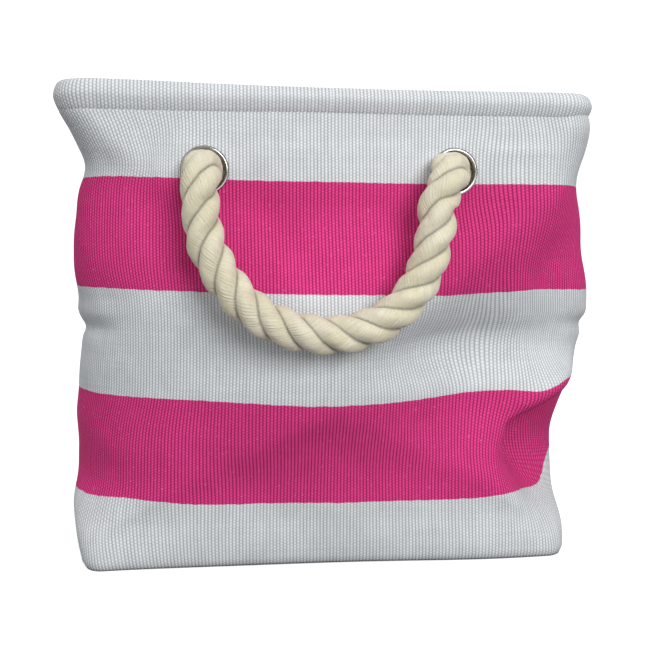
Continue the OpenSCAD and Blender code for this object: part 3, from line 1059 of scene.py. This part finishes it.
def seam_row(line, up, length=3.0 * MM, gap=0.7 * MM):
    """Starts and ends of stitches along a line of points, each with its outward direction."""
    arc = arc_along(line)
    at = np.arange(0, arc[-1] - length, length + gap)

    def read(values, where):
        return np.stack([np.interp(where, arc, values[:, k]) for k in range(3)], 1)

    return read(line, at), read(line, at + length), read(up, at + length / 2)


def make_strip(side):
    """The webbing behind a pair of eyelets."""
    low, high = box_of("front_reinforcement")
    xs = np.linspace(low[0], high[0], 137)
    zs = np.linspace(low[2], high[2], 25)
    z, x = np.meshgrid(zs, xs, indexing="ij")
    edge = np.minimum(np.minimum(x - low[0], high[0] - x), np.minimum(z - low[2], high[2] - z))
    y = high[1] - 0.45 * MM * (1 - smooth(edge / (1.5 * MM))) - cloth_out(side, x, z)
    points = np.stack([x, y, z], 2)
    hole = cut_eyelets(points, x.copy(), z.copy(), 1, 12.0 * MM, 1.1 * MM, 0.6 * MM)
    if side == "back":
        points = half_turn(points)
    obj = grid_mesh(f"{side}_strip", points[:, ::-1], np.stack([x, z], 2)[:, ::-1], tape_cotton)
    drop_vertices(obj, hole.reshape(x.shape)[:, ::-1].ravel())
    thicken(obj, 1.2 * MM)
    bag_piece(obj, f"{side}_reinforcement")
    rows = []
    inset = 2.5 * MM
    for z_row in (low[2] + inset, high[2] - inset):
        across = np.linspace(low[0] + inset, high[0] - inset, 90)
        level = z_row + 0 * across
        line = np.stack([across, high[1] - cloth_out(side, across, level), level], 1)
        if side == "back":
            line = half_turn(line)
        rows.append(seam_row(line, np.tile([0, 1.0 if side == "front" else -1.0, 0], (90, 1))))
    stitches(f"{side}_strip_stitches", rows)


def side_face(sign, ys, zs):
    """Distance out to the inner face of a side wall near its seam, a row for each height."""
    front, back = WALLS["front"][0], WALLS["back"][0]
    table = []
    for ahead, behind in zip(front, back):
        right, left = [ahead[-40:-2], behind[2:40]], [ahead[2:40][::-1], behind[-40:-2][::-1]]
        edge = np.vstack(right if sign > 0 else left)
        table.append(np.interp(ys, edge[:, 1], sign * edge[:, 0]))
    table, rows = np.array(table), np.linspace(0, WALL_TOP, len(front))
    return np.stack([np.interp(zs, rows, column) for column in table.T], 1) - CANVAS_T - 0.3 * MM


def make_side_tape(side):
    low, high = box_of(f"{side}_seam_binding")
    sign = -1 if side == "left" else 1
    zs = np.linspace(low[2], high[2], 90)
    half = (high[1] - low[1]) / 2
    ys = np.linspace(-half, half, 9)
    face = side_face(sign, ys, zs)
    bow = 1.7 * MM - 0.5 * MM * (np.abs(ys) / half) ** 3
    y = ys + 0 * zs[:, None]
    inward = bow + waves(zs[:, None], ys, 0.03, 81) * 0.08 * MM
    points = np.stack([sign * (face - inward), y, zs[:, None] + 0 * y], 2)
    uv = np.stack([y, zs[:, None] + 0 * y], 2)
    if side == "left":
        points, uv = points[:, ::-1], uv[:, ::-1]
    obj = grid_mesh(f"{side}_seam_tape", points[:, ::-1], uv[:, ::-1], tape_cotton)
    thicken(obj, 1.1 * MM)
    bag_piece(obj, f"{side}_seam_binding")
    rows = []
    for y_row in (-4 * MM, 4 * MM):
        x = sign * (side_face(sign, [y_row], zs)[:, 0] - 1.6 * MM)
        line = np.stack([x, y_row + 0 * zs, zs], 1)
        rows.append(seam_row(line, np.tile([-sign, 0, 0], (len(zs), 1)).astype(float)))
    stitches(f"{side}_seam_stitches", rows)


def ring_line(half_a, half_b, radius, step=3 * MM):
    """A closed rounded rectangle: points and outward directions."""
    points, outs = [], []
    for corner, (sx, sy) in enumerate(((1, -1), (1, 1), (-1, 1), (-1, -1))):
        for k in range(7):
            angle = math.radians(-90 + 90 * corner + 15 * k)
            out = math.cos(angle), math.sin(angle)
            outs.append(out)
            centre = sx * (half_a - radius), sy * (half_b - radius)
            points.append((centre[0] + radius * out[0], centre[1] + radius * out[1]))
    points, outs = np.array(points + points[:1]), np.array(outs + outs[:1])
    arc = arc_along(points)
    at = np.linspace(0, arc[-1], int(arc[-1] / step), endpoint=False)
    path, out = (np.stack([np.interp(at, arc, v[:, k]) for k in range(2)], 1) for v in (points, outs))
    return path, out / np.linalg.norm(out, axis=1)[:, None], at


def make_foot_tape():
    """The bound seam allowance round the foot of the walls, inside."""
    low, high = box_of("base_seam_binding")
    thick = 1.8 * MM
    path, out, at = ring_line(high[0] - thick / 2, high[1] - thick / 2, 10 * MM)
    a = np.arange(14) * TAU / 14
    px = thick / 2 * np.sign(np.cos(a)) * np.abs(np.cos(a)) ** 0.6
    pz = (high[2] - low[2]) / 2 * np.sign(np.sin(a)) * np.abs(np.sin(a)) ** 0.6
    wave = waves(at[:, None], a * 0.005, 0.03, 91) * 0.12 * MM
    middle = (low[2] + high[2]) / 2
    points = tube_points(path, out, px * 0.94 + wave * 0.4, middle + pz * 0.97 + wave * 0.5)
    girth = np.concatenate([[0], np.cumsum(np.hypot(np.diff(px), np.diff(pz)))])
    uv = np.stack([0 * at[:, None] + girth, at[:, None] + 0 * a], 2)
    obj = grid_mesh("foot_tape", follow_foot(points), uv, tape_cotton, closed_u=True, closed_v=True)
    turn_faces_out(obj)
    bag_piece(obj, "base_seam_binding")
    inner = path - out * (thick / 2 - 0.05 * MM)
    inner = follow_foot(np.column_stack([inner, np.full(len(path), middle)]))
    inner = np.vstack([inner, inner[:1]])
    lift = np.column_stack([-out, np.zeros(len(out))])
    stitches("foot_stitches", [seam_row(inner, np.vstack([lift, lift[:1]]))])


for side in ("front", "back"):
    make_strip(side)
for side in ("left", "right"):
    make_side_tape(side)
make_foot_tape()

# ---------- metal ----------


def make_eyelet(side, hand):
    """A rolled eyelet, turned as one profile: barrel, outer flange and the lip clinched inside."""
    low, high = box_of(f"{side}_{hand}_eyelet")
    centre = (low + high) / 2
    depth, outer = high[1] - low[1], (high[0] - low[0]) / 2
    lip, wall = 1.15 * MM, 0.35 * MM
    bore = outer - 2 * lip
    half = []                         # of the profile: a rolled lip, then the inside of the barrel
    for k in range(9):
        a = math.pi * k / 8
        half.append((bore + lip - lip * math.cos(a), depth / 2 - lip + lip * math.sin(a)))
    half += [(outer - wall, depth / 2 - lip - 0.1 * MM), (bore + 0.7 * MM, depth / 2 - lip + wall)]
    profile = np.array(half + [(r, -y) for r, y in half[::-1]])
    a = np.arange(72) * TAU / 72
    out = -1 if side == "front" else 1
    points = np.zeros((72, len(profile), 3))
    points[..., 0] = centre[0] + np.cos(a)[:, None] * profile[None, :, 0]
    points[..., 2] = centre[2] + np.sin(a)[:, None] * profile[None, :, 0]
    points[..., 1] = centre[1] + out * profile[None, :, 1]
    uv = points[..., :2].copy()
    obj = grid_mesh(f"{side}_{hand}_grommet", points, uv, nickel, closed_u=True, closed_v=True)
    turn_faces_out(obj)
    bag_piece(obj, f"{side}_{hand}_eyelet")


def repaint(node, material):
    obj = frame["nodes"][node]
    obj.data.materials.clear()
    obj.data.materials.append(material)


for side in ("front", "back"):
    for hand in ("left", "right"):
        make_eyelet(side, hand)
        repaint(f"{side}_{hand}_washer", nickel)
repaint("rim_wire", wire_steel)
repaint("rim_ferrule", crimp_alloy)
repaint("base_board", card)

# ---------- floor and light ----------


def make_stage():
    mesh = bpy.data.meshes.new("floor")
    size = 6
    level = -0.25 * MM
    corners = [(-size, -size, level), (size, -size, level), (size, size, level), (-size, size, level)]
    mesh.from_pydata(corners, [], [(0, 1, 2, 3)])
    floor = add_object("floor", mesh)
    n = Nodes("floor", 0.9)             # a light table: it glows a little
    n.shader.inputs["Emission Color"].default_value = (1, 1, 1, 1)
    n.shader.inputs["Emission Strength"].default_value = 0.6
    grain = n.noise(n.place(), 30.0, 2)
    pale = n.flat((0.9, 0.9, 0.9))
    mesh.materials.append(n.done(n.shade(pale, n.span(grain, 0, 1, 0.99, 1.0))))
    floor.visible_diffuse = False       # the dim lower half of the world stands for its bounce


def sun_light(name, towards, power, softness):
    data = bpy.data.lights.new(name, "SUN")
    data.energy = power
    data.angle = math.radians(softness)
    add_object(name, data).rotation_euler = Vector(towards).to_track_quat("-Z", "Y").to_euler()


KEY_PLACE, KEY_WIDTH, KEY_POWER = (0.42, -1.50, 0.69), 0.75, 15.4
SUNS = {                              # towards, power, softness in degrees
    "top": ((-0.1, 0.35, -1.0), 0.45, 50),
    "fill": ((0.75, 0.75, -0.35), 0.56, 60),
}
# The world's strength: from one place on the axis to the next, from one value to the next
WORLD_BACK = (0.35, 0.85, 0.42, 1.2)  # from the room in front of the bag to the white behind it
WORLD_UP = (-0.45, 0.0, 0.15, 1.0)    # from below the floor to its level


def make_light():
    """Soft light from above the front; a dim room in front of the bag, white behind it."""
    world = bpy.data.worlds.new("world")
    world.use_nodes = True
    tree = world.node_tree
    back = tree.nodes["Background"]
    back.inputs[0].default_value = (1, 1, 1, 1)
    place = tree.nodes.new("ShaderNodeTexCoord")
    split = tree.nodes.new("ShaderNodeSeparateXYZ")
    tree.links.new(place.outputs["Generated"], split.inputs[0])
    strength = tree.nodes.new("ShaderNodeMath")
    strength.operation = "MULTIPLY"
    for k, axis, values in ((0, 1, WORLD_BACK), (1, 2, WORLD_UP)):
        ramp = tree.nodes.new("ShaderNodeMapRange")
        ramp.interpolation_type = "SMOOTHSTEP"
        tree.links.new(split.outputs[axis], ramp.inputs[0])
        for socket, value in zip(list(ramp.inputs)[1:5], values):
            socket.default_value = value
        tree.links.new(ramp.outputs[0], strength.inputs[k])
    tree.links.new(strength.outputs[0], back.inputs[1])
    bpy.context.scene.world = world
    data = bpy.data.lights.new("key", "AREA")
    data.shape, data.size, data.energy = "DISK", KEY_WIDTH, KEY_POWER
    key = add_object("key", data)
    key.location = KEY_PLACE
    towards = Vector((0, 0, HEIGHT / 2)) - key.location
    key.rotation_euler = towards.to_track_quat("-Z", "Y").to_euler()
    for name, sun in SUNS.items():
        sun_light(name, *sun)


make_stage()
make_light()
bpy.context.scene.view_settings.view_transform = "Standard"
